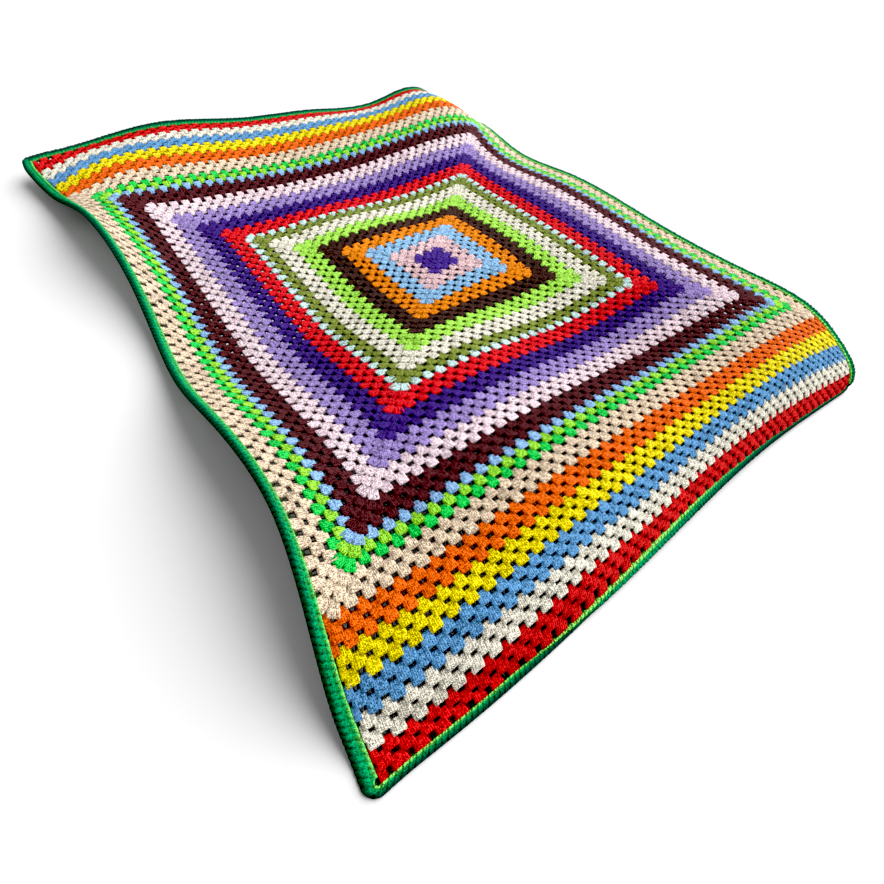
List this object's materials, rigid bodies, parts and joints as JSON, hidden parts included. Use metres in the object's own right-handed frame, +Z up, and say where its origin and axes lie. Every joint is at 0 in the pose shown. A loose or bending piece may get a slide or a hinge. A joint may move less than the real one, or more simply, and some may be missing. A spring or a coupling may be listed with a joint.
{
  "type": "granny square blanket",
  "caption": "Crocheted throw blanket of one large granny square with a striped panel at each end and a cord edging, lying in soft folds.",
  "frame": {"origin": "on the floor under the middle of the blanket's box", "axes": "+X across the blanket, +Y from its near end to its far end, +Z up from the floor"},
  "size_m": [1.174, 1.4194, 0.1089],
  "materials": {
    "square_yarn": "matt acrylic yarn in bands of violet, pink, blue, orange, brown, lime, cream, olive, red, lavender, burgundy, green and beige",
    "end_yarn": "matt acrylic yarn in rows of orange-red, yellow, mid blue, off-white and red",
    "edging_yarn": "matt acrylic yarn worked as a thick ribbed cord in greens"
  },
  "bodies": {
    "root": {"granny_square": "square_yarn", "near_end_panel": "end_yarn", "far_end_panel": "end_yarn", "edging": "edging_yarn"}
  },
  "joints": []
}
